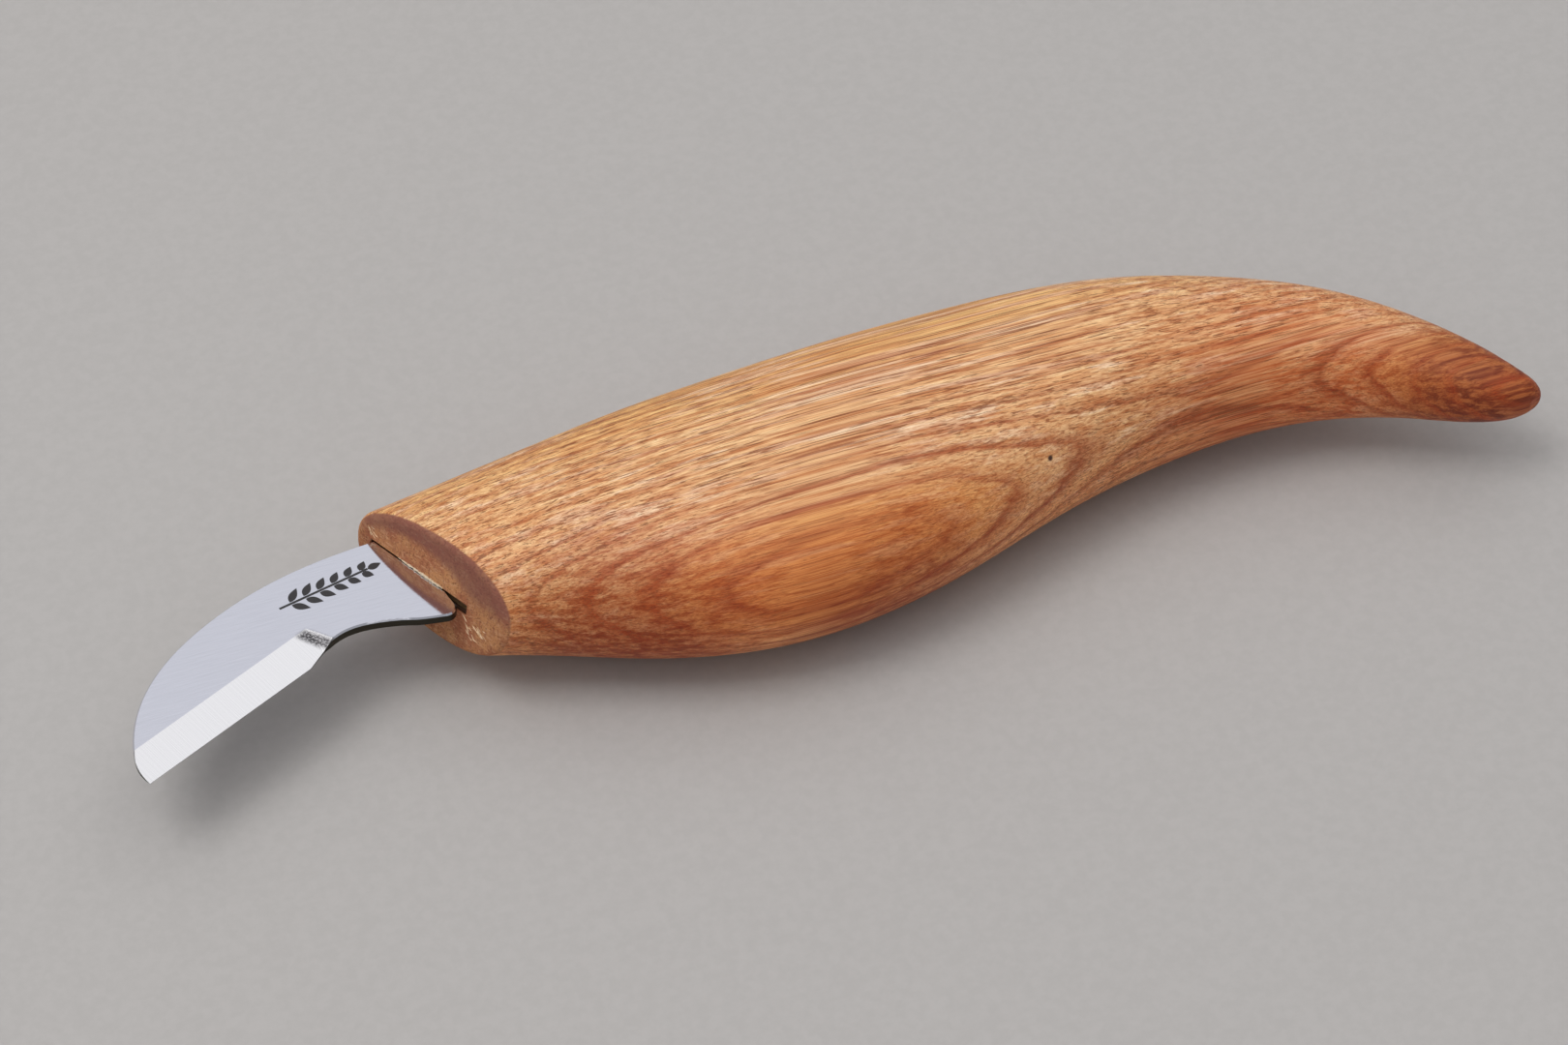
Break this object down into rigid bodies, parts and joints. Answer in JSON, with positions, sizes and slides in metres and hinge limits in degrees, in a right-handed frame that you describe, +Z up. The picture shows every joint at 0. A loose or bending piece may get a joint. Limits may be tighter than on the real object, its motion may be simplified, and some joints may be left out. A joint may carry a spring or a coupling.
{
  "type": "whittling knife",
  "caption": "Short whittling knife: a bevelled steel blade with a hollowed heel, glued into a carved wooden handle that fills the palm and tapers to a drooping tail.",
  "frame": {"origin": "middle of the underside of the box around the whole knife, which lies on its side", "axes": "+X along the knife from the blade's tip to the tail, +Y towards the blade's spine, +Z up, square to the blade's flats"},
  "size_m": [0.1658, 0.0358, 0.0233],
  "materials": {
    "blade_steel": "satin flats, bright bevels",
    "handle_wood": "oiled open-pored hardwood",
    "epoxy": "cured amber adhesive"
  },
  "bodies": {
    "root": {"blade": "blade_steel", "handle": "handle_wood", "tang_epoxy": "epoxy"}
  },
  "joints": []
}
